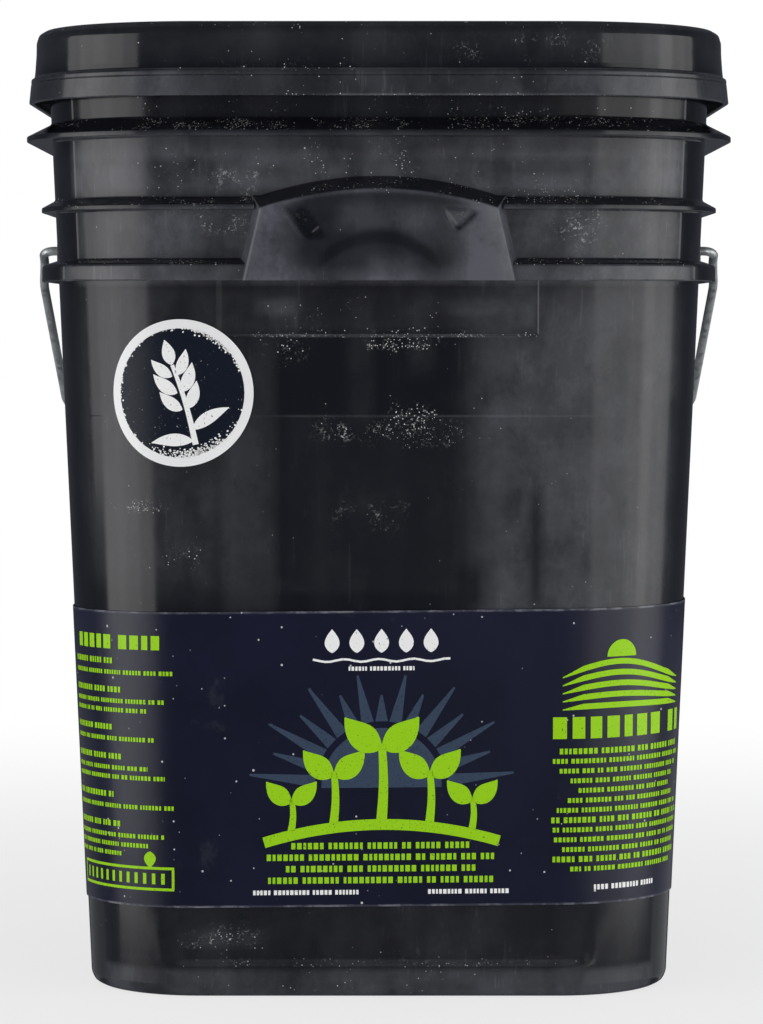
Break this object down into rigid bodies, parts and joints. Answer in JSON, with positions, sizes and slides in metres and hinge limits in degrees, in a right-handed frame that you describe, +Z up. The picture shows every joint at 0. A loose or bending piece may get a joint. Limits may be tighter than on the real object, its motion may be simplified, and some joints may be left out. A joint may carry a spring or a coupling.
{
  "type": "square plastic pail",
  "caption": "Square black plastic pail with a press-fit lid, ribbed collar, moulded hand grips, swinging wire bail with a roller grip, printed wrap label and a round sticker.",
  "frame": {"origin": "on the ground under the middle of the pail body, at the middle of its flat base", "axes": "+Z up, -Y out of the front face that carries the sticker, X along the bail's pivot axis with +X to the right seen from the front"},
  "size_m": [0.2708, 0.2959, 0.3556],
  "materials": {
    "pail_plastic": "glossy black polyethylene with dust and light scuffs",
    "lid_plastic": "glossy black polyethylene with dust",
    "gasket_foam": "pale closed-cell foam",
    "label_film": "navy printed film, satin",
    "sticker_film": "white and navy printed film, satin",
    "bail_steel": "galvanised wire",
    "grip_plastic": "black moulded roller"
  },
  "bodies": {
    "pail": {"pail_body": "pail_plastic", "lid": "lid_plastic", "lid_gasket": "gasket_foam", "wrap_label": "label_film", "round_sticker": "sticker_film"},
    "bail": {"bail_wire": "bail_steel"},
    "grip": {"bail_grip": "grip_plastic"}
  },
  "joints": [
    {"name": "bail_swing", "type": "hinge", "parent": "pail", "child": "bail", "pos_m": [0, 0, 0.2755], "axis": [1, 0, 0], "range_deg": [-16.3, 245.2]},
    {"name": "grip_roll", "type": "hinge", "parent": "bail", "child": "grip", "pos_m": [0, 0.15287, 0.20583], "axis": [1, 0, 0], "continuous": true}
  ]
}
